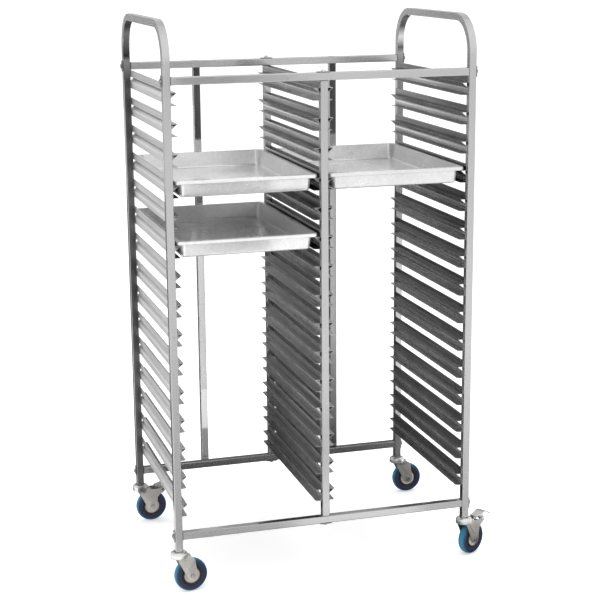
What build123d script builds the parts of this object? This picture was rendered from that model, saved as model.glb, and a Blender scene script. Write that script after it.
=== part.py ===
from build123d import *
import math
import os

# ---------------------------------------------------------------- driving dimensions (mm)
# Frame: X across the two bays, Y from front (-) to rear (+), Z up from the floor.
W = 920.0            # over the outer faces of the legs
D = 620.0            # front face of the front legs to rear face of the rear legs
H = 1654.0           # top of the push handles
T = 22.0             # square tube
TW = 1.2             # tube wall
TR = 2.0             # tube outer corner radius
BEND_R = 112.0       # outer radius of the handle bends
LEG_Z = 129.0        # bottom end of the legs
TOP_RAIL_Z = 1502.0  # upper face of the top rails
BOT_RAIL_Z = 186.0   # upper face of the bottom rails
SP = 2.0             # spacer plate between tube joints
SADDLE = 2.0         # saddle washer thickness

LEVELS = 15
PITCH = 85.0
RUN_Z0 = 233.0       # underside of the lowest runner
RUN_S = 1.2          # runner sheet
RUN_OUT = 18.0       # ledge and flange reach from the post face
RUN_LEDGE = 36.0     # ledge top above the runner's underside
RUN_RETURN = 21.4    # where the sloped return meets the lower web
RUN_TOP = 56.0       # runner height
RUN_HALF = 300.0     # half the runner length

TRAY_X = 414.0
TRAY_Y = 600.0
TRAY_DEEP = 49.0
TRAY_S = 1.3
TRAY_R = 11.0        # rim corner radius
TRAY_IN_R = 16.0     # corner radius of the mouth
TRAY_DRAFT = 8.0     # slope of the walls in degrees
RIM = 13.0           # rim width
LIP_W = 5.0          # rolled rim edge, across
LIP_H = 10.7         # rolled rim edge, height
TRAY_LIFT = 0.3      # rolled edge above the ledge

WHEEL_R = 50.0
WHEEL_HALF = 14.0
TRAIL = 35.0
AXLE_Z = 50.0
STEM_R = 6.0
FORK_IN = 17.0       # fork plate inner face from the wheel's mid plane
FORK_S = 2.5
BOSS_R = 15.5        # rounded end of the fork plates about the axle
HEAD_R = 25.0        # swivel head

BOLT_R = 3.95        # M8
M6_R = 2.95          # M6

LEG_X = W / 2 - T / 2
LEG_Y = D / 2 - T / 2
BAY_C = (W / 2 - T + T / 2) / 2
BAY_HALF = (W / 2 - T - T / 2) / 2
STOP_Y = D / 2 + T / 2

# caster: name, leg sign x, leg sign y, trail direction in degrees from +X, brake
CASTERS = [
    ("fl", -1, -1, 8.0, False),
    ("fr", 1, -1, 29.0, True),
    ("rl", -1, 1, 4.0, True),
    ("rr", 1, 1, 0.0, False),
]

# trays: name, bay sign, level counted from the top
TRAYS = [
    ("upper_left_tray", -1, 4),
    ("lower_left_tray", -1, 6),
    ("right_tray", 1, 4),
]

os.makedirs("parts", exist_ok=True)


def out(name, items):
    items = items if isinstance(items, (list, tuple)) else [items]
    solids = []
    for it in items:
        solids.extend(it.solids())
    for s in solids:
        if not s.is_valid:
            print("not valid", name)
    shape = solids[0] if len(solids) == 1 else Compound(children=solids)
    shape.label = name
    export_step(shape, f"parts/{name}.step")


def tube_face():
    return RectangleRounded(T, T, TR) - RectangleRounded(T - 2 * TW, T - 2 * TW, TR - TW + 0.1)


def tube_z(length):
    return extrude(tube_face(), length)


def tube_x(length):
    # centred on X
    return Pos(-length / 2, 0, 0) * (Rot(0, 90, 0) * tube_z(length))


def cyl_x(r, x0, x1, y, z):
    return Pos((x0 + x1) / 2, y, z) * (Rot(0, 90, 0) * Cylinder(r, abs(x1 - x0)))


def cyl_y(r, y0, y1, x, z):
    return Pos(x, (y0 + y1) / 2, z) * (Rot(90, 0, 0) * Cylinder(r, abs(y1 - y0)))


def cyl_z(r, z0, z1, x, y):
    return Pos(x, y, (z0 + z1) / 2) * Cylinder(r, abs(z1 - z0))


def dome_bolt(r, shank, head_af, head_h):
    # head on z 0..head_h (hexagon with a low dome), shank down to -shank with a chamfered tip
    hexa = extrude(RegularPolygon(head_af / math.sqrt(3), 6), head_h)
    ball_r = head_af * 0.62
    dome = Pos(0, 0, head_h - ball_r + 0.6) * Sphere(ball_r)
    head = hexa & (dome + Pos(0, 0, (head_h - 2.6) / 2) * Cylinder(head_af, head_h - 2.6))
    body = Pos(0, 0, -shank / 2) * Cylinder(r, shank)
    body = chamfer(body.edges().group_by(Axis.Z)[0], 0.8)
    return head + body


# ---------------------------------------------------------------- end frames
TOP_C = TOP_RAIL_Z - T / 2
BOT_C = BOT_RAIL_Z - T / 2
BEND_C = H - BEND_R


def end_frame(side):
    x = side * LEG_X
    leg = tube_z(BEND_C - LEG_Z)
    front = Pos(x, -LEG_Y, LEG_Z) * leg
    rear = Pos(x, LEG_Y, LEG_Z) * leg
    run = D / 2 - BEND_R
    # one bend: ring section turned a quarter about an axis parallel to X
    sect = Plane.XY.offset(0) * tube_face()
    bend_f = revolve(
        Pos(x, -LEG_Y, BEND_C) * sect,
        Axis((x, -run, BEND_C), (1, 0, 0)),
        -90,
    )
    bend_r = revolve(
        Pos(x, LEG_Y, BEND_C) * sect,
        Axis((x, run, BEND_C), (1, 0, 0)),
        90,
    )
    bar = Pos(x, run, H - T / 2) * (Rot(90, 0, 0) * tube_z(2 * run))
    body = front + bend_f + bar + bend_r + rear
    for y in (-LEG_Y, LEG_Y):
        for z in (TOP_C, BOT_C):
            body -= cyl_x(BOLT_R + 0.25, x - T, x + T, y, z)
    return body


left_frame = end_frame(-1)
right_frame = end_frame(1)
out("left_end_frame", left_frame)
out("right_end_frame", right_frame)

# ---------------------------------------------------------------- rails
RAIL_L = W - 2 * T - 2 * SP


def rail(y, zc, rear, top):
    body = Pos(0, y, zc) * tube_x(RAIL_L)
    body -= cyl_z(BOLT_R + 0.25, zc - T, zc + T, 0, y)
    if rear:
        for x in (-BAY_C, BAY_C):
            body -= cyl_y(4.6, y + T / 2 - 3, y + T, x, zc)
    return body


out("front_top_rail", rail(-LEG_Y, TOP_C, False, True))
out("rear_top_rail", rail(LEG_Y, TOP_C, True, True))
out("front_bottom_rail", rail(-LEG_Y, BOT_C, False, False))
out("rear_bottom_rail", rail(LEG_Y, BOT_C, True, False))

# ---------------------------------------------------------------- mid posts and stop posts
POST_Z0 = BOT_RAIL_Z + SP
POST_Z1 = TOP_RAIL_Z - T - SP
out("front_mid_post", Pos(0, -LEG_Y, POST_Z0) * tube_z(POST_Z1 - POST_Z0))
out("rear_mid_post", Pos(0, LEG_Y, POST_Z0) * tube_z(POST_Z1 - POST_Z0))

STOP_Z0 = BOT_RAIL_Z - T + 1.0
STOP_Z1 = TOP_RAIL_Z - 1.0


def stop_post(x):
    body = Pos(x, STOP_Y, STOP_Z0) * tube_z(STOP_Z1 - STOP_Z0)
    for z in (TOP_C, BOT_C):
        body -= cyl_y(M6_R + 0.25, STOP_Y - T, STOP_Y + T, x, z)
    return body


out("left_rear_stop_post", stop_post(-BAY_C))
out("right_rear_stop_post", stop_post(BAY_C))

# ---------------------------------------------------------------- tray runners


def slab(p, q, s):
    dx, dz = q[0] - p[0], q[1] - p[1]
    n = math.hypot(dx, dz)
    return Pos((p[0] + q[0]) / 2, (p[1] + q[1]) / 2) * (
        Rot(0, 0, math.degrees(math.atan2(dz, dx))) * Rectangle(n, s)
    )


def runner_profile():
    s = RUN_S
    h = s / 2
    pts = [
        (h, RUN_TOP),
        (h, RUN_LEDGE - h),
        (RUN_OUT - h, RUN_LEDGE - h),
        (h, RUN_RETURN),
        (h, h),
        (RUN_OUT, h),
    ]
    sk = slab(pts[0], pts[1], s)
    for a, b in zip(pts[1:], pts[2:]):
        sk += slab(a, b, s)
    for p in pts[1:5]:
        sk += Pos(p[0], p[1]) * Circle(h)
    return sk


def runner():
    # web against x = 0, ledge reaching to +x, length along Y
    body = extrude(Plane.XZ * runner_profile(), RUN_HALF, both=True)
    # rounded corners of the lower flange and the ledge at both ends
    r = 9.0
    for sy in (-1, 1):
        corner = Pos(RUN_OUT - r / 2 + 0.5, sy * (RUN_HALF - r / 2 + 0.5), 0) * Box(r + 1, r + 1, 3)
        keep = Pos(RUN_OUT - r, sy * (RUN_HALF - r), 0) * Cylinder(r, 3)
        quad = Pos(RUN_OUT - r / 2 + 0.5, sy * (RUN_HALF - r / 2 + 0.5), 0) * Box(r + 1, r + 1, 3)
        body -= (corner & quad) - keep
    return body


one_run = runner().solids()[0]


def bank(face_x, toward):
    res = []
    for i in range(LEVELS):
        z = RUN_Z0 + i * PITCH
        if toward > 0:
            res.append(Pos(face_x, 0, z) * one_run)
        else:
            res.append(Pos(face_x, 0, z) * (Rot(0, 0, 180) * one_run))
    return res


out("left_frame_runners", bank(-(W / 2 - T), 1))
out("mid_left_runners", bank(-T / 2, -1))
out("mid_right_runners", bank(T / 2, 1))
out("right_frame_runners", bank(W / 2 - T, -1))

# ---------------------------------------------------------------- joints of the tubes
PLUG = T - 2 * TW - 0.4
PLUG_L = 22.0

bolts, saddles, spacers, plugs = [], [], [], []
for sx in (-1, 1):
    for y in (-LEG_Y, LEG_Y):
        for z in (TOP_C, BOT_C):
            xo = sx * W / 2
            xi = sx * (W / 2 - T)
            saddle = fillet((Pos(xo + sx * SADDLE / 2, y, z) * Box(SADDLE, T, 32)).edges().filter_by(Axis.X), 3.0)
            saddle -= cyl_x(BOLT_R + 0.25, xo - 5, xo + 5, y, z)
            saddles.append(saddle)
            spacer = fillet((Pos(xi - sx * SP / 2, y, z) * Box(SP, T, T + 1)).edges().filter_by(Axis.X), 1.5)
            spacer -= cyl_x(BOLT_R + 0.25, xi - 5, xi + 5, y, z)
            spacers.append(spacer)
            px = xi - sx * (SP + PLUG_L / 2)
            plug = fillet((Pos(px, y, z) * Box(PLUG_L, PLUG, PLUG)).edges().filter_by(Axis.X), 0.9)
            plug -= cyl_x(BOLT_R + 0.05, px - PLUG_L, px + PLUG_L, y, z)
            plugs.append(plug)
            b = dome_bolt(BOLT_R, SADDLE + T + SP + PLUG_L - 2, 13.0, 6.2)
            bolts.append(Pos(xo + sx * SADDLE, y, z) * (Rot(0, 90 * sx, 0) * b))
out("corner_bolts", bolts)
out("corner_saddle_washers", saddles)
out("rail_end_spacers", spacers)
out("rail_end_plugs", plugs)

bolts, washers, spacers, plugs = [], [], [], []
for y in (-LEG_Y, LEG_Y):
    for top in (True, False):
        s = 1 if top else -1
        z_out = TOP_RAIL_Z if top else BOT_RAIL_Z - T
        z_in = TOP_RAIL_Z - T if top else BOT_RAIL_Z
        w = fillet((Pos(0, y, z_out + s * 1.1) * Box(36, T, 2.2)).edges().filter_by(Axis.Z), 3.0)
        w -= cyl_z(BOLT_R + 0.25, z_out - 6, z_out + 6, 0, y)
        washers.append(w)
        sp = fillet((Pos(0, y, z_in - s * SP / 2) * Box(T, T, SP)).edges().filter_by(Axis.Z), 1.5)
        sp -= cyl_z(BOLT_R + 0.25, z_in - 6, z_in + 6, 0, y)
        spacers.append(sp)
        zc = z_in - s * (SP + PLUG_L / 2)
        pl = fillet((Pos(0, y, zc) * Box(PLUG, PLUG, PLUG_L)).edges().filter_by(Axis.Z), 0.9)
        pl -= cyl_z(BOLT_R + 0.05, zc - PLUG_L, zc + PLUG_L, 0, y)
        plugs.append(pl)
        b = dome_bolt(BOLT_R, 2.2 + T + SP + PLUG_L - 2, 13.0, 6.2)
        bolts.append(Pos(0, y, z_out + s * 2.2) * (b if top else Rot(180, 0, 0) * b))
out("mid_post_bolts", bolts)
out("mid_post_washers", washers)
out("mid_post_spacers", spacers)
out("mid_post_end_plugs", plugs)

bolts, nuts = [], []
for x in (-BAY_C, BAY_C):
    for z in (TOP_C, BOT_C):
        b = dome_bolt(M6_R, T + 13.0, 10.0, 4.2)
        bolts.append(Pos(x, STOP_Y + T / 2, z) * (Rot(-90, 0, 0) * b))
        yr = LEG_Y + T / 2
        nut = cyl_y(4.5, yr - 15, yr, x, z) + cyl_y(6.2, yr - TW - 2.6, yr - TW - 0.1, x, z)
        nut -= cyl_y(M6_R + 0.05, yr - 20, yr + 5, x, z)
        nuts.append(nut)
out("stop_post_bolts", bolts)
out("stop_post_rivet_nuts", nuts)

sockets = []
for sx in (-1, 1):
    for sy in (-1, 1):
        blk = fillet((Pos(sx * LEG_X, sy * LEG_Y, LEG_Z + 20) * Box(PLUG, PLUG, 40)).edges().filter_by(Axis.Z), 0.9)
        blk -= cyl_z(STEM_R + 0.05, LEG_Z - 5, LEG_Z + 60, sx * LEG_X, sy * LEG_Y)
        sockets.append(blk)
out("leg_stem_sockets", sockets)

# ---------------------------------------------------------------- casters
# local frame: swivel axis on Z at the origin, wheel trailing to +x, axle along y
PLATE_TOP = 109.0
CROWN_Z = 112.0


def ring_profile(pts):
    return revolve(make_face(Plane.XZ * Polyline(*pts, close=True)), Axis.Z)


def caster_stem():
    pts = [
        (0, 104.5), (8.0, 104.5), (9.5, 106.0), (9.5, 108.7), (STEM_R, 108.7),
        (STEM_R, 117.2), (17.6, 117.2), (18.0, 117.6), (18.0, 119.4), (17.2, 120.0),
        (11.0, 121.2), (11.0, LEG_Z), (STEM_R, LEG_Z), (STEM_R, LEG_Z + 36), (STEM_R - 1.2, LEG_Z + 38), (0, LEG_Z + 38),
    ]
    return ring_profile(pts)


def swivel_balls():
    return [Rot(0, 0, 36 * i) * (Pos(14.0, 0, 114.6) * Sphere(2.5)) for i in range(10)]


def plate_outline(brake):
    # fork plate in x and z, boss round the axle
    pts = [(-12.0, PLATE_TOP + 1.0), (33.0, PLATE_TOP + 1.0), (39.0, PLATE_TOP - 2.0), (43.0, PLATE_TOP - 8.0)]
    if brake:
        pts = [(-12.0, PLATE_TOP + 1.0), (60.0, PLATE_TOP + 1.0), (71.0, PLATE_TOP + 5.0), (78.0, PLATE_TOP + 3.0), (78.0, PLATE_TOP - 8.0), (63.0, 93.0), (53.5, 82.0)]
    pts += [(TRAIL + BOSS_R - 0.2, AXLE_Z + 3.0), (TRAIL - BOSS_R + 0.8, AXLE_Z - 5.0)]
    return pts


def fork(brake):
    outline = make_face(Polyline(*plate_outline(brake), close=True)) + Pos(TRAIL, AXLE_Z) * Circle(BOSS_R)
    plate = extrude(Plane.XZ * outline, FORK_S)
    # Plane.XZ faces -y
    left = Pos(0, -FORK_IN, 0) * plate
    right = Pos(0, FORK_IN + FORK_S, 0) * plate
    # embossed rib down each plate
    rib_pts = [(4.0, 104.0), (24.0, 104.0), (TRAIL + 4.5, AXLE_Z + 15.0), (TRAIL - 5.0, AXLE_Z + 15.0)]
    rib_f = make_face(Polyline(*rib_pts, close=True))
    rib = extrude(Plane.XZ * rib_f, 1.2, taper=25)
    rib_l = Pos(0, -FORK_IN - FORK_S, 0) * rib
    rib_r = Rot(0, 0, 180) * (Pos(-0.0, -FORK_IN - FORK_S, 0) * (mirror(rib, Plane.YZ)))
    top = Pos(10.5, 0, (PLATE_TOP + CROWN_Z) / 2) * Box(45, 2 * (FORK_IN + FORK_S), CROWN_Z - PLATE_TOP)
    top = fillet(top.edges().filter_by(Axis.Y).sort_by(Axis.X)[-2:].sort_by(Axis.Z)[-1], 2.0)
    top += cyl_z(HEAD_R, PLATE_TOP, CROWN_Z, 0, 0)
    body = top + left + right + rib_l + rib_r
    # drum-shaped swivel head
    dome_pts = [
        (14.5, 127.4), (19.6, 126.4), (23.2, 123.8), (HEAD_R - 0.3, 120.4), (HEAD_R, 118.6), (HEAD_R, 111.0),
        (HEAD_R - 2.2, 111.0), (HEAD_R - 2.2, 118.6), (21.4, 121.8), (18.6, 124.0), (13.0, 125.0), (13.0, 127.4),
    ]
    body += ring_profile(dome_pts)
    body -= cyl_z(STEM_R + 0.08, 100, 116, 0, 0)
    body -= cyl_y(4.06, -60, 60, TRAIL, AXLE_Z)
    if brake:
        body -= cyl_y(3.06, -60, 60, PIVOT[0], PIVOT[1])
    return body


PIVOT = (70.0, 108.0)


def axle_set():
    half = FORK_IN + FORK_S
    shank = cyl_y(4.0, -half, half + 8.5, TRAIL, AXLE_Z)
    head = Pos(TRAIL, -half, AXLE_Z) * (Rot(90, 0, 0) * extrude(RegularPolygon(13 / math.sqrt(3), 6), 5.3))
    head = chamfer(head.faces().sort_by(Axis.Y)[0].edges(), 0.7)
    bolt = shank + head
    nut = Pos(TRAIL, half, AXLE_Z) * (Rot(-90, 0, 0) * extrude(RegularPolygon(13 / math.sqrt(3), 6), 6.5))
    nut = chamfer(nut.faces().sort_by(Axis.Y)[-1].edges(), 0.7)
    nut -= cyl_y(4.06, half - 5, half + 20, TRAIL, AXLE_Z)
    return [bolt, nut]


def revolve_y(pts):
    # profile in (radius, y) about the axle
    f = make_face(Plane.XY * Polyline(*pts, close=True))
    s = revolve(f, Axis.Y)
    return Pos(TRAIL, 0, AXLE_Z) * s


def bushing():
    return revolve_y([(4.06, -FORK_IN), (6.0, -FORK_IN), (6.0, FORK_IN), (4.06, FORK_IN)])


def hub():
    # moulded wheel centre: boss, dished face, rim seat with a stepped edge
    half = [
        (6.07, 16.2), (11.0, 16.2), (12.2, 15.0), (12.8, 12.4), (15.0, 11.4), (22.0, 10.6),
        (24.0, 12.0), (25.2, 13.2), (26.6, 13.2), (27.4, 12.2), (27.6, 9.4), (29.0, 9.4),
    ]
    other = [(r, -y) for r, y in reversed(half)]
    return revolve_y(half + other)


def tyre():
    prof = Polyline((29.0, 9.4), (30.2, 11.4), (32.0, 13.2))
    l2 = Line((32.0, 13.2), (39.0, WHEEL_HALF))
    a1 = ThreePointArc((39.0, WHEEL_HALF), (46.0, 11.6), (49.2, 6.0))
    a2 = ThreePointArc((49.2, 6.0), (WHEEL_R, 0.0), (49.2, -6.0))
    a3 = ThreePointArc((49.2, -6.0), (46.0, -11.6), (39.0, -WHEEL_HALF))
    l3 = Line((39.0, -WHEEL_HALF), (32.0, -13.2))
    p2 = Polyline((32.0, -13.2), (30.2, -11.4), (29.0, -9.4))
    l4 = Line((29.0, -9.4), (29.0, 9.4))
    f = make_face([*prof.edges(), *l2.edges(), *a1.edges(), *a2.edges(), *a3.edges(), *l3.edges(), *p2.edges(), *l4.edges()])
    return Pos(TRAIL, 0, AXLE_Z) * revolve(f, Axis.Y)


def pedal():
    # arched pressed lever between the fork plates, with a shoe hanging over the tread
    pts = [(47.0, 116.2), (60.0, 119.0), (78.0, 124.0), (90.0, 124.0), (105.0, 117.4), (121.0, 108.0)]
    s = 2.4
    sk = slab(pts[0], pts[1], s)
    for a, b in zip(pts[1:], pts[2:]):
        sk += slab(a, b, s)
    for p in pts[1:-1]:
        sk += Pos(p[0], p[1]) * Circle(s / 2)
    tongue = extrude(Plane.XZ * sk, 15.5, both=True)
    # the tongue widens to its rounded tip and narrows at its root
    plan = Pos(91.5, 0) * RectangleRounded(62.0, 31.0, 14.0) + Pos(62.0, 0) * RectangleRounded(34.0, 26.0, 3.0)
    tongue = tongue & extrude(Plane.XY.offset(80) * plan, 80)
    cheek_f = make_face(Polyline((58.0, 118.4), (80.0, 124.0), (84.0, 122.6), (80.0, 104.0), (74.0, 92.0), (69.0, 91.0), (63.0, 102.0), close=True))
    cheek = extrude(Plane.XZ * cheek_f, 2.4)
    lug = Pos(0, -10.6, 0) * cheek
    lug2 = Pos(0, 13.0, 0) * cheek
    shoe = Pos(71.5, 0, 94.1) * Box(5.0, 26.0, 6.2)
    shoe = fillet(shoe.edges().filter_by(Axis.Y), 1.2)
    body = tongue + lug + lug2 + shoe
    body -= cyl_y(3.12, -60, 60, PIVOT[0], PIVOT[1])
    return body


def pivot_pin():
    half = FORK_IN + FORK_S
    return cyl_y(3.0, -half - 1.6, half + 1.6, PIVOT[0], PIVOT[1]) + cyl_y(4.6, half, half + 1.6, PIVOT[0], PIVOT[1]) + cyl_y(4.6, -half - 1.6, -half, PIVOT[0], PIVOT[1])


stem_s, balls_s, bush_s, hub_s, tyre_s = caster_stem(), swivel_balls(), bushing(), hub(), tyre()
axle_s = axle_set()
fork_plain, fork_brake = fork(False), fork(True)
pedal_s, pin_s = pedal(), pivot_pin()

for name, sx, sy, ang, brake in CASTERS:
    at = Pos(sx * LEG_X, sy * LEG_Y, 0) * Rot(0, 0, ang)
    out(f"{name}_caster_stem", at * stem_s)
    out(f"{name}_swivel_balls", [at * b for b in balls_s])
    out(f"{name}_caster_fork", at * (fork_brake if brake else fork_plain))
    out(f"{name}_axle_bolt", [at * a for a in axle_s])
    out(f"{name}_wheel_bushing", at * bush_s)
    out(f"{name}_wheel_hub", at * hub_s)
    out(f"{name}_tyre", at * tyre_s)
    if brake:
        out(f"{name}_brake_pedal", at * pedal_s)
        out(f"{name}_brake_pin", at * pin_s)

# ---------------------------------------------------------------- trays
# local frame: centre of the rim outline, z 0 on the underside of the rolled edge


def tray():
    top = LIP_H
    in_x, in_y = TRAY_X - 2 * RIM, TRAY_Y - 2 * RIM
    r_in = TRAY_IN_R
    outer = extrude(Plane.XY.offset(top) * RectangleRounded(in_x + 2 * TRAY_S, in_y + 2 * TRAY_S, r_in + TRAY_S), -TRAY_DEEP, taper=TRAY_DRAFT)
    outer = fillet(outer.faces().sort_by(Axis.Z)[0].edges(), 8.0)
    inner = extrude(Plane.XY.offset(top) * RectangleRounded(in_x, in_y, r_in), -(TRAY_DEEP - TRAY_S), taper=TRAY_DRAFT)
    inner = fillet(inner.faces().sort_by(Axis.Z)[0].edges(), 8.0 - TRAY_S)
    flange = extrude(Plane.XY.offset(top - TRAY_S) * RectangleRounded(TRAY_X - LIP_W, TRAY_Y - LIP_W, TRAY_R - LIP_W / 2), TRAY_S)
    path = RectangleRounded(TRAY_X - LIP_W, TRAY_Y - LIP_W, TRAY_R - LIP_W / 2).wire()
    path = path.moved(Location((0, 0, LIP_H / 2)))
    sect = Plane(path @ 0, x_dir=(0, 0, 1), z_dir=path % 0) * RectangleRounded(LIP_H, LIP_W, 2.2)
    lip = sweep(sect, path)
    return outer + flange + lip - inner


tray_s = tray()
for name, side, level in TRAYS:
    z = RUN_Z0 + (LEVELS - level) * PITCH + RUN_LEDGE + TRAY_LIFT
    out(name, Pos(side * BAY_C, 0, z) * tray_s)
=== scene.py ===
import math

import bpy
from mathutils import Matrix, Vector

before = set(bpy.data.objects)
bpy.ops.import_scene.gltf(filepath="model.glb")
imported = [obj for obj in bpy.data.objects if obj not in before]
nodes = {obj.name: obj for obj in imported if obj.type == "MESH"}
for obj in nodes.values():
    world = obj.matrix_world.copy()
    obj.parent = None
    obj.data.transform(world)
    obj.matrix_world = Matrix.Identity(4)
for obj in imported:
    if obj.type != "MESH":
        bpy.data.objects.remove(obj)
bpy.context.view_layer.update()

scene = bpy.context.scene
scene.view_settings.view_transform = "Standard"
scene.view_settings.look = "None"

# ------------------------------------------------------------------ camera
R = Vector((0.957890, -0.287070, -0.008040))
Dn = Vector((-0.072600, -0.214970, -0.973940))
Wv = Vector((0.277860, 0.933480, -0.226750))
cam_data = bpy.data.cameras.new("camera")
cam = bpy.data.objects.new("camera", cam_data)
scene.collection.objects.link(cam)
m = Matrix.Identity(4)
for i in range(3):
    m[i][0], m[i][1], m[i][2] = R[i], -Dn[i], -Wv[i]
m[0][3], m[1][3], m[2][3] = -1.28406, -4.36689, 1.84096
cam.matrix_world = m
cam_data.sensor_width = 36.0
cam_data.lens = 36.0 * 1511.81 / 600.0
cam_data.clip_start, cam_data.clip_end = 0.05, 500.0
scene.camera = cam


# ------------------------------------------------------------------ node helpers
class Mat:
    """One material and short names for the nodes it is made of."""

    def __init__(self, name):
        self.mat = bpy.data.materials.new(name)
        self.mat.use_nodes = True
        self.nt = self.mat.node_tree
        self.bsdf = self.nt.nodes["Principled BSDF"]
        self.x = -300

    def node(self, kind, **props):
        n = self.nt.nodes.new(kind)
        self.x -= 40
        n.location = (self.x, 0)
        for k, v in props.items():
            setattr(n, k, v)
        return n

    def link(self, a, b):
        self.nt.links.new(a, b)

    def put(self, name, value):
        self.bsdf.inputs[name].default_value = value

    def coord(self):
        return self.node("ShaderNodeTexCoord").outputs["Object"]

    def mapped(self, vec, loc=(0, 0, 0), rot=(0, 0, 0), scale=(1, 1, 1), kind="POINT"):
        n = self.node("ShaderNodeMapping", vector_type=kind)
        n.inputs["Location"].default_value = loc
        n.inputs["Rotation"].default_value = rot
        n.inputs["Scale"].default_value = scale
        self.link(vec, n.inputs["Vector"])
        return n.outputs["Vector"]

    def noise(self, vec, scale, detail=3.0, rough=0.5, dist=0.0):
        n = self.node("ShaderNodeTexNoise")
        n.inputs["Scale"].default_value = scale
        n.inputs["Detail"].default_value = detail
        n.inputs["Roughness"].default_value = rough
        n.inputs["Distortion"].default_value = dist
        self.link(vec, n.inputs["Vector"])
        return n.outputs["Fac"]

    def ramp(self, fac, stops, interp="LINEAR"):
        n = self.node("ShaderNodeValToRGB")
        cr = n.color_ramp
        cr.interpolation = interp
        while len(cr.elements) > 1:
            cr.elements.remove(cr.elements[-1])
        for i, (p, c) in enumerate(stops):
            e = cr.elements[0] if i == 0 else cr.elements.new(p)
            e.position = p
            e.color = (*c, 1.0) if isinstance(c, tuple) else (c, c, c, 1.0)
        self.link(fac, n.inputs["Fac"])
        return n.outputs["Color"]

    def maths(self, op, a, b=None, clamp=False):
        n = self.node("ShaderNodeMath", operation=op, use_clamp=clamp)
        for i, v in enumerate((a, b)):
            if v is None:
                continue
            if isinstance(v, (int, float)):
                n.inputs[i].default_value = v
            else:
                self.link(v, n.inputs[i])
        return n.outputs[0]

    def range(self, v, a, b, c, d):
        n = self.node("ShaderNodeMapRange")
        for k, x in zip(("From Min", "From Max", "To Min", "To Max"), (a, b, c, d)):
            n.inputs[k].default_value = x
        self.link(v, n.inputs["Value"])
        return n.outputs["Result"]

    def mix(self, fac, a, b, blend="MIX"):
        n = self.node("ShaderNodeMix", data_type="RGBA", blend_type=blend)
        for k, v in (("Factor", fac), ("A", a), ("B", b)):
            s = [i for i in n.inputs if i.name == k and i.enabled][0]
            if isinstance(v, (int, float)):
                s.default_value = v
            elif isinstance(v, tuple):
                s.default_value = (*v, 1.0)
            else:
                self.link(v, s)
        return [o for o in n.outputs if o.name == "Result" and o.enabled][0]

    def xyz(self, vec):
        n = self.node("ShaderNodeSeparateXYZ")
        self.link(vec, n.inputs[0])
        return n.outputs["X"], n.outputs["Y"], n.outputs["Z"]

    def bump(self, height, strength, dist):
        n = self.node("ShaderNodeBump")
        n.inputs["Strength"].default_value = strength
        n.inputs["Distance"].default_value = dist
        self.link(height, n.inputs["Height"])
        self.link(n.outputs["Normal"], self.bsdf.inputs["Normal"])

    def out(self, colour=None, rough=None):
        if colour is not None:
            self.link(colour, self.bsdf.inputs["Base Color"])
        if rough is not None:
            self.link(rough, self.bsdf.inputs["Roughness"])
        return self.mat


STRETCH = {"x": (2.0, 260.0, 260.0), "y": (260.0, 2.0, 260.0), "z": (260.0, 260.0, 2.0)}


def brushed(name, grain, lo, hi, r_lo, r_hi, tint=(1.0, 1.0, 1.0), bump=0.04, handle=False, drawn=False, painted_shade_bands=None):
    """Brushed metal: fine lines along one direction, cloudy handling marks, small scratches."""
    k = Mat(name)
    v = k.coord()
    lines = k.noise(k.mapped(v, scale=STRETCH[grain]), 6.0, 4.0, 0.6)
    if handle:
        # on the hoops the lines follow the tube round onto its top run
        over = k.noise(k.mapped(v, scale=STRETCH["y"]), 6.0, 4.0, 0.6)
        z = k.xyz(v)[2]
        top = k.range(z, 1.56, 1.63, 0.0, 1.0)
        lines_c = k.mix(top, lines, over)
        lines = k.maths("ADD", lines_c, 0.0)
    cloud = k.noise(v, 5.0, 4.0, 0.55, 0.4)
    spots = k.noise(v, 70.0, 2.0, 0.5)
    if drawn:
        # rolled sheet keeps broad drawing lines along its length
        broad = k.noise(k.mapped(v, scale=tuple(q * 0.15 for q in STRETCH[grain])), 6.0, 3.0, 0.6)
        lines = k.maths("ADD", k.maths("MULTIPLY", lines, 0.35), k.maths("MULTIPLY", broad, 0.65))
    w = 0.85 if drawn else 0.6
    both = k.maths("ADD", k.maths("MULTIPLY", lines, w), k.maths("MULTIPLY", cloud, 1.0 - w))
    a = tuple(lo * t for t in tint)
    b = tuple(hi * t for t in tint)
    col = k.ramp(both, [(0.42, a), (0.58, b)] if drawn else [(0.34, a), (0.66, b)])
    dull = k.ramp(spots, [(0.60, 1.0), (0.72, 0.94)])
    col = k.mix(0.4 if drawn else 1.0, col, dull, "MULTIPLY")
    if painted_shade_bands:
        # painted shade and painted highlights across each fold: darker creases, lighter edges; stops are mm above a
        # runner's underside
        up = k.maths("DIVIDE", k.maths("MODULO", k.maths("SUBTRACT", k.xyz(v)[2], 0.2329), 0.085), 0.085)
        col = k.mix(1.0, col, k.ramp(up, [(h / 85.0, f) for h, f in painted_shade_bands]), "MULTIPLY")
    rough = k.range(k.maths("ADD", k.maths("MULTIPLY", lines, 0.5), k.maths("MULTIPLY", cloud, 0.5)), 0.3, 0.7, r_lo, r_hi)
    k.put("Metallic", 1.0)
    k.bump(lines, bump, 0.0002)
    return k.out(col, rough)


def plated(name, lo, hi, rough_lo, rough_hi, tint=(1.0, 1.0, 1.0)):
    """Zinc-plated pressed steel: crystalline mottling and fine pressing marks."""
    k = Mat(name)
    v = k.coord()
    mott = k.noise(v, 140.0, 3.0, 0.6, 0.6)
    cloud = k.noise(v, 28.0, 3.0, 0.5)
    f = k.maths("ADD", k.maths("MULTIPLY", mott, 0.5), k.maths("MULTIPLY", cloud, 0.5))
    col = k.ramp(f, [(0.35, tuple(lo * t for t in tint)), (0.65, tuple(hi * t for t in tint))])
    rough = k.range(mott, 0.3, 0.7, rough_lo, rough_hi)
    k.put("Metallic", 1.0)
    k.bump(mott, 0.10, 0.0003)
    return k.out(col, rough)


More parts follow.
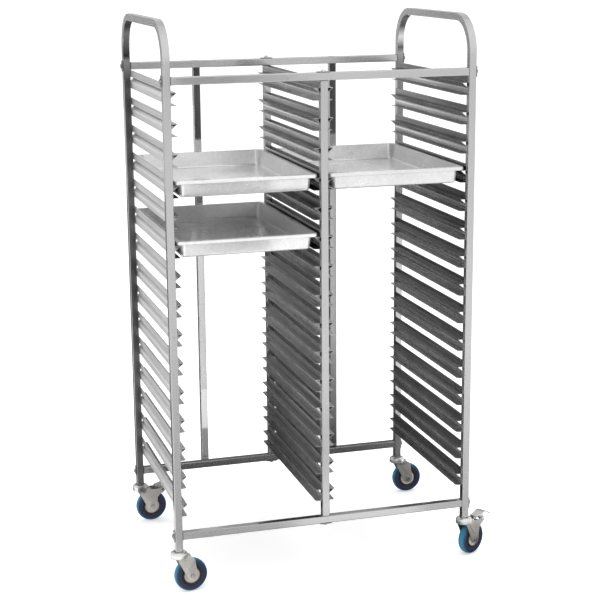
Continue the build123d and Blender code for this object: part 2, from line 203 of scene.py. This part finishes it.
def set_mat(names, mat):
    for n in names:
        o = nodes[n]
        o.data.materials.clear()
        o.data.materials.append(mat)
        for p in o.data.polygons:
            p.material_index = 0


# ------------------------------------------------------------------ steel tube
steel_hoop = brushed("steel_hoop", "z", 0.415, 0.45, 0.21, 0.24, bump=0.012, handle=True)
steel_z = brushed("steel_post", "z", 0.415, 0.45, 0.21, 0.24, bump=0.012)
steel_x = brushed("steel_rail", "x", 0.43, 0.46, 0.21, 0.24, bump=0.012)
# the left rear stop post gets a lighter copy of the post steel: painted light
steel_stop = brushed("steel_stop_post_painted_light", "z", 0.58, 0.63, 0.21, 0.24, bump=0.012)
steel_run = brushed("steel_runner", "y", 0.34, 0.42, 0.25, 0.28, bump=0.015, drawn=True)
# painted shade and painted highlights across a runner's height (mm, factor): dark creases, light edges; the right
# bank's copies are darker overall
UP_PAINTED_SHADE = [(36.0, 0.40), (41.0, 0.74), (49.0, 1.00), (56.0, 1.75)]
DN_PAINTED_SHADE = [(0.0, 0.76), (9.0, 0.84), (15.5, 1.20), (18.0, 1.85), (21.4, 0.95)]
RIGHT_UP_PAINTED_SHADE = [(36.0, 0.30), (42.0, 0.62), (47.0, 0.40), (56.0, 0.62)]
RIGHT_DN_PAINTED_SHADE = [(0.0, 0.42), (7.0, 0.66), (14.0, 0.95), (17.0, 1.60), (21.4, 0.55)]
# darker upper-web and lighter lower-web copies of the runner steel: painted shade and painted light
steel_run_up = brushed("steel_runner_web", "y", 0.20, 0.44, 0.24, 0.28, bump=0.015, drawn=True, painted_shade_bands=UP_PAINTED_SHADE)
steel_run_dn = brushed("steel_runner_lower_web", "y", 0.34, 0.58, 0.25, 0.29, bump=0.015, drawn=True, painted_shade_bands=DN_PAINTED_SHADE)
steel_run_up_r = brushed("steel_runner_web_right", "y", 0.20, 0.44, 0.24, 0.28, bump=0.015, drawn=True, painted_shade_bands=RIGHT_UP_PAINTED_SHADE)
steel_run_dn_r = brushed("steel_runner_lower_web_right", "y", 0.34, 0.58, 0.25, 0.29, bump=0.015, drawn=True, painted_shade_bands=RIGHT_DN_PAINTED_SHADE)
# rougher steel for the backs of the banks; its lighter tone, lightest on the lower web, is painted light
steel_out_up = brushed("steel_runner_outer", "y", 0.58, 0.80, 0.46, 0.52, bump=0.015, drawn=True)
steel_out_dn = brushed("steel_runner_outer_low_painted_light", "y", 0.78, 0.95, 0.56, 0.62, bump=0.015, drawn=True)
steel_left_up = brushed("steel_runner_left_outer", "y", 0.52, 0.70, 0.46, 0.52, bump=0.015, drawn=True)
steel_left_dn = brushed("steel_runner_left_outer_low_painted_light", "y", 0.78, 0.95, 0.56, 0.62, bump=0.015, drawn=True, painted_shade_bands=[(0.0, 0.66), (12.0, 0.70), (21.4, 0.92)])
set_mat(["left_end_frame", "right_end_frame"], steel_hoop)
set_mat(["front_mid_post", "rear_mid_post", "right_rear_stop_post"], steel_z)
set_mat(["left_rear_stop_post"], steel_stop)
set_mat(["front_top_rail", "rear_top_rail", "front_bottom_rail", "rear_bottom_rail"], steel_x)
def fold_shade_mat(name, web, tip, stops=((0.00, 0.72), (0.18, 0.62), (0.38, 0.20), (0.60, 0.05), (1.00, 0.03))):
    """Inside of a folded ledge: painted shade, lighter near the web and darker towards the tip."""
    k = Mat(name)
    v = k.coord()
    wob = k.noise(k.mapped(v, scale=(40.0, 6.0, 40.0)), 4.0, 3.0, 0.5)
    deep = k.maths("ADD", k.range(k.xyz(v)[0], web, tip, 0.0, 1.0), k.maths("MULTIPLY", k.maths("SUBTRACT", wob, 0.5), 0.10))
    col = k.ramp(deep, stops)
    k.put("Metallic", 1.0)
    k.bump(wob, 0.02, 0.0002)
    return k.out(col, k.range(wob, 0.3, 0.7, 0.42, 0.50))


fold_shades = {
    "left_frame_runners": fold_shade_mat("runner_fold_shade_left", -0.438, -0.420, ((0.00, 0.85), (0.32, 0.72), (0.48, 0.38), (0.62, 0.08), (1.00, 0.03))), "mid_left_runners": fold_shade_mat("runner_fold_shade_mid_left", -0.011, -0.029),
    "mid_right_runners": fold_shade_mat("runner_fold_shade_mid_right", 0.011, 0.029), "right_frame_runners": fold_shade_mat("runner_fold_shade_right", 0.438, 0.420),
}

# the upper and lower webs get darker and lighter copies of the runner steel, painted shade and painted light; the
# backs of the left and middle banks get a rougher steel whose lighter tone, lighter still on the lower web, is painted
# light
for n in ("left_frame_runners", "mid_left_runners", "mid_right_runners", "right_frame_runners"):
    set_mat([n], steel_run)
    o = nodes[n]
    right = n == "right_frame_runners"
    outer = (steel_left_up, steel_left_dn) if n == "left_frame_runners" else (steel_out_up, steel_out_dn)
    for extra in (steel_run_up_r if right else steel_run_up, steel_run_dn_r if right else steel_run_dn, *outer, fold_shades[n]):
        o.data.materials.append(extra)
    for poly in o.data.polygons:
        at = (poly.center.z - 0.233) % 0.085
        if (poly.normal.z < -0.9 and 0.030 < at < 0.0358) or (abs(poly.normal.x) > 0.5 and poly.normal.z > 0.5):
            # faces inside the folded ledge get the painted shade
            poly.material_index = 5  # inside the folded ledge
        elif abs(poly.normal.x) > 0.9:
            low = at < 0.0222
            dull = poly.normal.x * (1.0 if n == "mid_left_runners" else -1.0) > 0.0 and n != "right_frame_runners"
            poly.material_index = (4 if low else 3) if dull else (2 if low else 1)
        elif n == "left_frame_runners" and poly.normal.x < -0.4:
            poly.material_index = 3

hardware = plated("bright_zinc_hardware", 0.42, 0.72, 0.18, 0.34)
set_mat(["corner_bolts"], plated("dark_zinc_hardware", 0.20, 0.40, 0.22, 0.36))
set_mat(["mid_post_bolts", "stop_post_bolts", "stop_post_rivet_nuts", "fr_brake_pin", "rl_brake_pin"], hardware)
set_mat([f"{c}_axle_bolt" for c in ("fl", "fr", "rl", "rr")], plated("axle_zinc", 0.30, 0.46, 0.28, 0.42, (1.0, 0.96, 0.90)))
# the joint plates, spacers and end plugs get a dark steel tone: painted shade standing in for the dark reflections on
# them
plate = plated("joint_plate_steel_painted_shade", 0.16, 0.30, 0.28, 0.45)
set_mat(["corner_saddle_washers", "rail_end_spacers", "mid_post_washers", "mid_post_spacers"], plate)
set_mat(["rail_end_plugs", "mid_post_end_plugs"], plate)
chrome = plated("swivel_chrome", 0.70, 0.92, 0.08, 0.16)
set_mat([f"{c}_{n}" for c in ("fl", "fr", "rl", "rr") for n in ("caster_stem", "swivel_balls", "wheel_bushing")], chrome)


def fork_mat():
    """Zinc-plated fork: warm grey pressed plates and a bright turned swivel head."""
    k = Mat("pressed_zinc")
    v = k.coord()
    mott = k.noise(v, 140.0, 3.0, 0.6, 0.6)
    cloud = k.noise(v, 28.0, 3.0, 0.5)
    f = k.maths("ADD", k.maths("MULTIPLY", mott, 0.5), k.maths("MULTIPLY", cloud, 0.5))
    plates = k.ramp(f, [(0.35, (0.44, 0.42, 0.39)), (0.65, (0.58, 0.555, 0.525))])
    head = k.ramp(f, [(0.35, (0.70, 0.70, 0.70)), (0.65, (0.82, 0.82, 0.82))])
    up = k.range(k.xyz(v)[2], 0.1105, 0.1125, 0.0, 1.0)
    col = k.mix(up, plates, head)
    rough = k.maths("SUBTRACT", k.range(mott, 0.3, 0.7, 0.44, 0.54), k.maths("MULTIPLY", up, 0.10))
    k.put("Metallic", 1.0)
    k.bump(mott, 0.03, 0.0002)
    return k.out(col, rough)


zinc = fork_mat()
set_mat([f"{c}_caster_fork" for c in ("fl", "fr", "rl", "rr")], zinc)
set_mat(["fr_brake_pedal", "rl_brake_pedal"], plated("pedal_zinc", 0.55, 0.68, 0.30, 0.42, (1.0, 0.98, 0.95)))


def moulded(name, dark, light, scale=220.0):
    k = Mat(name)
    v = k.coord()
    grain = k.noise(v, scale, 4.0, 0.6)
    cloud = k.noise(v, 30.0, 3.0, 0.5)
    col = k.ramp(k.maths("ADD", k.maths("MULTIPLY", grain, 0.35), k.maths("MULTIPLY", cloud, 0.65)), [(0.35, dark), (0.65, light)])
    rough = k.range(grain, 0.3, 0.7, 0.42, 0.60)
    k.bump(grain, 0.15, 0.0003)
    return k.out(col, rough)


set_mat(["leg_stem_sockets"], moulded("socket_nylon", (0.02, 0.02, 0.02), (0.05, 0.05, 0.05)))


def wheel_radius(k, v, centre, angle):
    """Distance from the axle, for a wheel centred there and turned by angle."""
    c, s = math.cos(-angle), math.sin(-angle)
    loc = (-(centre[0] * c - centre[1] * s), -(centre[0] * s + centre[1] * c), -centre[2])
    x, y, z = k.xyz(k.mapped(v, loc=loc, rot=(0.0, 0.0, -angle)))
    return k.maths("SQRT", k.maths("ADD", k.maths("MULTIPLY", x, x), k.maths("MULTIPLY", z, z)))


def hub_mat(name, centre, angle):
    """Moulded nylon centre, beige, with a black rim seat round it and fine moulding grain."""
    k = Mat(name)
    v = k.coord()
    r = wheel_radius(k, v, centre, angle)
    grain = k.noise(v, 240.0, 4.0, 0.6)
    cloud = k.noise(v, 34.0, 3.0, 0.5)
    f = k.maths("ADD", k.maths("MULTIPLY", grain, 0.35), k.maths("MULTIPLY", cloud, 0.65))
    beige = k.ramp(f, [(0.35, (0.37, 0.36, 0.335)), (0.65, (0.48, 0.465, 0.44))])
    tone = k.ramp(k.range(r, 0.005, 0.029, 0.0, 1.0), [
        (0.00, 0.80), (0.28, 1.0), (0.33, 0.66), (0.40, 0.92), (0.72, 1.0), (0.775, 0.72), (0.80, 0.035), (1.0, 0.025),
    ])
    col = k.mix(1.0, beige, tone, "MULTIPLY")
    rough = k.range(grain, 0.3, 0.7, 0.42, 0.60)
    k.bump(grain, 0.12, 0.0003)
    return k.out(col, rough)


def tyre_mat(name, centre, angle):
    """Blue rubber: navy side walls, a bright blue tread and a thin brown bead next to the hub."""
    k = Mat(name)
    v = k.coord()
    r = wheel_radius(k, v, centre, angle)
    wob = k.noise(v, 260.0, 3.0, 0.6)
    rr = k.maths("ADD", r, k.maths("MULTIPLY", k.maths("SUBTRACT", wob, 0.5), 0.0006))
    side = k.ramp(k.range(rr, 0.028, 0.050, 0.0, 1.0), [
        (0.00, (0.12, 0.042, 0.034)), (0.09, (0.12, 0.042, 0.034)), (0.13, (0.012, 0.018, 0.036)),
        (0.30, (0.013, 0.024, 0.052)), (0.70, (0.012, 0.027, 0.063)), (0.86, (0.022, 0.068, 0.14)), (0.94, (0.034, 0.165, 0.285)), (1.00, (0.040, 0.215, 0.345)),
    ])
    scuff = k.noise(v, 90.0, 4.0, 0.6)
    col = k.mix(1.0, side, k.ramp(scuff, [(0.40, 1.0), (0.70, 0.78)]), "MULTIPLY")
    rough = k.range(wob, 0.3, 0.7, 0.42, 0.62)
    k.bump(wob, 0.20, 0.0004)
    k.put("Specular IOR Level", 0.28)
    return k.out(col, rough)


for cname, sx, sy, ang in (("fl", -1, -1, 8.0), ("fr", 1, -1, 29.0), ("rl", -1, 1, 4.0), ("rr", 1, 1, 0.0)):
    a = math.radians(ang)
    cen = (sx * 0.449 + 0.035 * math.cos(a), sy * 0.299 + 0.035 * math.sin(a), 0.050)
    set_mat([f"{cname}_tyre"], tyre_mat(f"{cname}_blue_rubber", cen, a))
    set_mat([f"{cname}_wheel_hub"], hub_mat(f"{cname}_hub_nylon", cen, a))


def tray_mat(name, lo, hi):
    """Drawn aluminium: soft bead-blast grain, long handling streaks, faint spots from use."""
    k = Mat(name)
    v = k.coord()
    grain = k.noise(v, 520.0, 3.0, 0.6)
    streak = k.noise(k.mapped(v, scale=(40.0, 4.0, 40.0)), 3.0, 3.0, 0.5)
    cloud = k.noise(v, 6.0, 4.0, 0.55, 0.5)
    f = k.maths("ADD", k.maths("MULTIPLY", streak, 0.5), k.maths("MULTIPLY", cloud, 0.5))
    col = k.ramp(f, [(0.35, (lo, lo, lo * 1.005)), (0.65, (hi, hi, hi * 1.005))])
    col = k.mix(1.0, col, k.ramp(k.noise(v, 55.0, 2.0, 0.5), [(0.62, 1.0), (0.74, 0.97)]), "MULTIPLY")
    rough = k.range(k.maths("ADD", k.maths("MULTIPLY", grain, 0.5), k.maths("MULTIPLY", cloud, 0.5)), 0.3, 0.7, 0.21, 0.29)
    k.put("Metallic", 0.60)
    k.bump(grain, 0.03, 0.0002)
    return k.out(col, rough)


# the three trays get lighter and darker copies of one aluminium: painted light and painted shade for where each sits
set_mat(["upper_left_tray"], tray_mat("tray_aluminium_upper", 0.63, 0.75))
set_mat(["lower_left_tray"], tray_mat("tray_aluminium_lower_painted_lighter", 0.67, 0.79))
set_mat(["right_tray"], tray_mat("tray_aluminium_right_painted_darker", 0.55, 0.67))

# ------------------------------------------------------------------ stage


def stage_plane(name, corners, mat):
    me = bpy.data.meshes.new(name)
    me.from_pydata(corners, [], [(0, 1, 2, 3)])
    o = bpy.data.objects.new(name, me)
    scene.collection.objects.link(o)
    me.materials.append(mat)
    return o


k = Mat("pale_floor")
v = k.coord()
col = k.ramp(k.noise(v, 1.2, 3.0, 0.5), [(0.3, (0.93, 0.93, 0.93)), (0.7, (0.95, 0.95, 0.95))])
k.put("Roughness", 0.9)
k.put("Specular IOR Level", 0.0)
k.put("Emission Color", (1.0, 1.0, 1.0, 1.0))
k.put("Emission Strength", 0.30)
floor_mat = k.out(col)
stage_plane("floor", [(-150, -150, 0), (150, -150, 0), (150, 150, 0), (-150, 150, 0)], floor_mat)

def card(name, corners, lo, hi):
    """A flag that only the steel's reflections see."""
    k = Mat(name + "_face")
    col = k.ramp(k.noise(k.coord(), 3.0, 2.0, 0.5), [(0.3, (lo, lo, lo)), (0.7, (hi, hi, hi))])
    k.put("Roughness", 1.0)
    k.put("Specular IOR Level", 0.0)
    o = stage_plane(name, corners, k.out(col))
    o.visible_camera = False
    o.visible_diffuse = False
    o.visible_shadow = False
    return o


def fade_card(name, corners, axis, stops):
    """A flag whose tone changes along one axis: stops are (metres, tone)."""
    k = Mat(name + "_face")
    a, b = stops[0][0], stops[-1][0]
    along = k.range(k.xyz(k.coord())["xyz".index(axis)], a, b, 0.0, 1.0)
    k.put("Roughness", 1.0)
    k.put("Specular IOR Level", 0.0)
    o = stage_plane(name, corners, k.out(k.ramp(along, [((q - a) / (b - a), t) for q, t in stops])))
    o.visible_camera = False
    o.visible_diffuse = False
    o.visible_shadow = False
    return o


def upright(x0, x1, z0, z1, y):
    return [(x0, y, z0), (x1, y, z0), (x1, y, z1), (x0, y, z1)]


def level(x0, x1, y0, y1, z):
    return [(x0, y0, z), (x1, y0, z), (x1, y1, z), (x0, y1, z)]


def strip(name, line, x0, x1, lo, hi):
    """A flag bent along a line of (y, z) points."""
    o = card(name, upright(x0, x1, 0.0, 0.1, 0.0), lo, hi)
    me = o.data
    me.clear_geometry()
    verts = [(x, y, z) for y, z in line for x in (x0, x1)]
    me.from_pydata(verts, [], [(2 * i, 2 * i + 1, 2 * i + 3, 2 * i + 2) for i in range(len(line) - 1)])
    return o


def glow_face(name, axis, stops):
    """A face that gives its own light: stops are (metres along the axis, brightness)."""
    k = Mat(name + "_glow")
    a, b = stops[0][0], stops[-1][0]
    most = max(t for _, t in stops)
    along = k.range(k.xyz(k.coord())["xyz".index(axis)], a, b, 0.0, 1.0)
    k.put("Emission Strength", most)
    k.put("Roughness", 1.0)
    k.put("Specular IOR Level", 0.0)
    k.link(k.ramp(along, [((q - a) / (b - a), t / most) for q, t in stops]), k.bsdf.inputs["Emission Color"])
    return k.out(k.ramp(k.noise(k.coord(), 3.0, 2.0, 0.5), [(0.3, 0.02), (0.7, 0.04)]))


def glow_strip(name, line, x0, x1, axis, stops):
    o = strip(name, line, x0, x1, 0.02, 0.04)
    o.data.materials.clear()
    o.data.materials.append(glow_face(name, axis, stops))
    return o


def glow_card(name, corners, axis, stops):
    o = stage_plane(name, corners, glow_face(name, axis, stops))
    o.visible_camera = o.visible_diffuse = o.visible_shadow = False
    return o


near_bend = [(0.187 + 0.098 * math.cos(math.radians(t)), 1.531 + 0.098 * math.sin(math.radians(t))) for t in range(0, 86, 5)]

card("card_back", upright(-1.0, 1.8, 0.0, 0.88, 1.6), 0.065, 0.095)
card("card_left_back", upright(-2.6, -1.0, 0.0, 1.22, 1.6), 0.64, 0.74)
card("card_hoop", upright(-2.6, -0.2, 1.22, 1.95, 1.6), 0.30, 0.42)
card("card_back_upper", upright(-1.0, 1.8, 0.88, 1.22, 1.6), 0.50, 0.58)
# dark cards on the floor under and behind the trolley, seen only in reflections: painted shade for the trolley's own
# shadow
card("card_low", level(-0.35, 0.75, -0.55, 0.36, 0.003), 0.10, 0.14)
card("card_low_rear", level(-1.3, 0.75, 0.36, 1.6, 0.003), 0.08, 0.12)
card("card_high", upright(-1.2, 2.8, 1.3, 2.3, 2.4), 0.46, 0.56)
# cards close behind, between and in front of the trays and rails, seen only in reflections: painted shade and painted
# light on those faces
card("card_between_left", upright(-0.42, -0.247, 1.00, 1.165, 0.335), 0.70, 0.80)
card("card_between_right", upright(-0.201, -0.02, 1.00, 1.165, 0.335), 0.70, 0.80)
card("card_gap_front", upright(-0.41, -0.03, 1.05, 1.15, -0.335), 0.42, 0.52)
card("card_tray_front", upright(-0.35, -0.10, 1.08, 1.165, -0.45), 0.62, 0.74)
card("card_tray_front_low", upright(-0.31, -0.10, 0.91, 0.985, -0.45), 0.56, 0.68)
card("flag_rail_left", upright(-0.20, -0.011, 0.1985, 0.2225, -0.272), 0.03, 0.06)
card("flag_rail_right", upright(0.245, 0.437, 0.1985, 0.2225, -0.272), 0.03, 0.06)
card("card_front_low", level(-0.27, 0.02, -0.95, -0.62, 0.003), 0.58, 0.68)
fade_card("card_front_rail", upright(-0.365, 0.041, 1.42, 1.51, -0.61), "x", [(-0.365, 0.59), (-0.213, 0.61), (-0.133, 0.72), (-0.054, 0.92), (0.041, 1.0)])
fade_card("card_rear_rail", upright(-0.413, -0.045, 1.45, 1.508, 0.088), "x", [(-0.413, 0.66), (-0.32, 0.67), (-0.164, 0.72), (-0.127, 0.86), (-0.045, 1.0)])
# glowing cards lying on the floor in front of the legs, seen only in reflections: a painted reflection of the floor in
# the legs' lower ends
glow_card("card_floor_left", [(-0.462, -0.60, 0.004), (-0.262, -0.60, 0.004), (1.17, -4.2, 0.004), (0.27, -4.2, 0.004)], "y",
          [(-4.2, 1.3), (-3.7, 1.1), (-2.6, 0.76), (-1.75, 0.68), (-0.60, 0.71)])
glow_card("card_floor_right", [(0.436, -0.60, 0.004), (0.636, -0.60, 0.004), (1.59, -2.9, 0.004), (0.87, -2.9, 0.004)], "y",
          [(-2.9, 1.3), (-2.25, 1.2), (-1.24, 0.96), (-0.60, 0.92)])
glow_card("card_floor_mid", [(0.144, -1.05, 0.004), (0.304, -1.05, 0.004), (0.676, -1.9, 0.004), (0.276, -1.9, 0.004)], "y",
          [(-1.9, 1.25), (-1.6, 0.95), (-1.05, 0.88)])
# narrow flags and glowing strips just in front of the rear uprights and stop posts, seen only in reflections: painted
# shade and painted highlights on them
strip("flag_leg_left", [(0.272, 0.10), (0.272, 0.60), (0.272, 1.10), (0.272, 1.45)], -0.468, -0.434, 0.30, 0.54)
glow_strip("flag_hoop_left", [(0.285, 1.45)] + near_bend, -0.468, -0.434, "z", [(1.45, 0.17), (1.506, 0.50), (1.521, 0.03), (1.583, 0.36), (1.60, 0.08)])
card("flag_stop", upright(-0.248, -0.196, 1.25, 1.478, 0.290), 0.04, 0.14)
fade_card("flag_stop_right_low", upright(0.196, 0.256, 0.19, 0.57, 0.290), "z", [(0.19, 0.20), (0.24, 0.26), (0.30, 0.40), (0.38, 0.52), (0.48, 0.70), (0.57, 1.0)])
glow_strip("flag_stop_left_low", [(0.290, 0.19), (0.290, 0.42)], -0.252, -0.192, "z", [(0.19, 0.34), (0.285, 0.41), (0.290, 1.12), (0.42, 1.28)])
card("flag_stop_right", upright(0.196, 0.256, 1.25, 1.478, 0.290), 0.10, 0.20)
glow_strip("flag_hoop_right", [(0.285, 1.45)] + near_bend, 0.4375, 0.470, "z", [(1.45, 0.24), (1.508, 0.75), (1.526, 0.22), (1.557, 1.65), (1.585, 0.20)])
fade_card("flag_leg_right_mid", upright(0.4445, 0.480, 0.95, 1.45, 0.262), "z", [(0.95, 1.0), (1.00, 0.90), (1.06, 0.66), (1.12, 0.60), (1.45, 0.58)])
card("flag_leg_right_low", upright(0.4445, 0.480, 0.10, 0.235, 0.262), 0.42, 0.54)

# a strip light over the front of the hoops, for the shine on their bends
glow_strip("strip_light", [(-2.1, 2.6), (0.2, 2.6)], -0.9, 1.6, "y", [(-2.1, 1.42), (-0.8, 1.45), (0.2, 1.15)])
glow_strip("strip_light_low", [(-2.1, 1.15), (-2.1, 2.6)], -0.9, 1.6, "z", [(1.15, 1.0), (1.35, 1.12), (1.6, 1.25), (2.15, 1.42), (2.6, 1.42)])

world = bpy.data.worlds.new("studio")
scene.world = world
world.use_nodes = True
bg = world.node_tree.nodes["Background"]
bg.inputs["Color"].default_value = (1.0, 1.0, 1.0, 1.0)
bg.inputs["Strength"].default_value = 1.0


def softbox(name, at, to, size, watts, shape_y=None):
    d = bpy.data.lights.new(name, "AREA")
    d.energy = watts
    d.shape = "RECTANGLE"
    d.size = size
    d.size_y = shape_y or size
    o = bpy.data.objects.new(name, d)
    scene.collection.objects.link(o)
    o.location = at
    o.rotation_mode = "QUATERNION"
    o.rotation_quaternion = (Vector(to) - Vector(at)).to_track_quat("-Z", "Y")
    o.visible_glossy = False
    return o


softbox("key", (-2.6, -3.4, 3.2), (0.0, 0.0, 0.8), 2.4, 26.0)
softbox("top", (0.4, 0.2, 4.2), (0.0, 0.0, 0.0), 3.0, 90.0)
softbox("fill", (3.2, -2.8, 2.4), (0.0, 0.0, 0.8), 2.4, 16.0)
